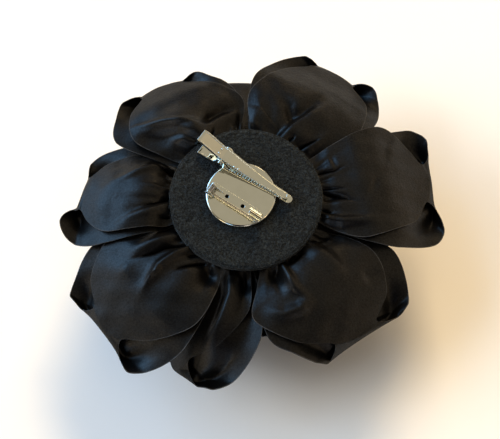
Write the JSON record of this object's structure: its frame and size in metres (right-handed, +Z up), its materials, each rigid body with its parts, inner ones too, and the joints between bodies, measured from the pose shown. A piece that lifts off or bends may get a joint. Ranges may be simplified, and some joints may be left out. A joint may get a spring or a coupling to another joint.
{
  "type": "flower brooch",
  "caption": "Fabric flower brooch lying face down: whorls of folded satin petals under a round felt backing, with a toothed hinged clip and a bar pin on a round metal plate.",
  "frame": {"origin": "the middle of the box's bottom face, on the surface that the flower lies on, face down", "axes": "+Z up, towards the pin side; +X to the right and +Y to the top of the back view"},
  "size_m": [0.1524, 0.1498, 0.0565],
  "materials": {
    "satin": "black satin, soft sheen",
    "felt": "charcoal wool felt, matt",
    "plated_metal": "polished nickel plate on steel"
  },
  "bodies": {
    "base": {"felt_disc": "felt", "metal_base": "plated_metal", "clip_axle": "plated_metal", "clip_spring": "plated_metal", "pin_rivet": "plated_metal", "back_petal_right": "satin", "back_petal_upper_right": "satin", "back_petal_upper_left": "satin", "back_petal_left": "satin", "back_petal_lower_left": "satin", "back_petal_bottom": "satin", "back_petal_lower_right": "satin", "middle_petal_1": "satin", "middle_petal_2": "satin", "middle_petal_3": "satin", "middle_petal_4": "satin", "middle_petal_5": "satin", "middle_petal_6": "satin", "middle_petal_7": "satin", "inner_petal_1": "satin", "inner_petal_2": "satin", "inner_petal_3": "satin", "inner_petal_4": "satin", "inner_petal_5": "satin", "heart_petal_1": "satin", "heart_petal_2": "satin", "heart_petal_3": "satin", "heart_petal_4": "satin", "flower_bud": "satin"},
    "clip_jaw": {"clip_upper_jaw": "plated_metal"},
    "pin": {"pin_stem": "plated_metal"}
  },
  "joints": [
    {"name": "clip_hinge", "type": "hinge", "parent": "base", "child": "clip_jaw", "pos_m": [-0.01275, 0.01339, 0.05], "axis": [-0.5664, -0.8241, 0], "range_deg": [0, 28], "stiffness_Nm_per_rad": 0.03, "springref_deg": -45.84},
    {"name": "pin_hinge", "type": "hinge", "parent": "base", "child": "pin", "pos_m": [-0.01746, 0.00061, 0.04895], "axis": [-0.5664, -0.8241, 0], "range_deg": [0, 110]}
  ]
}
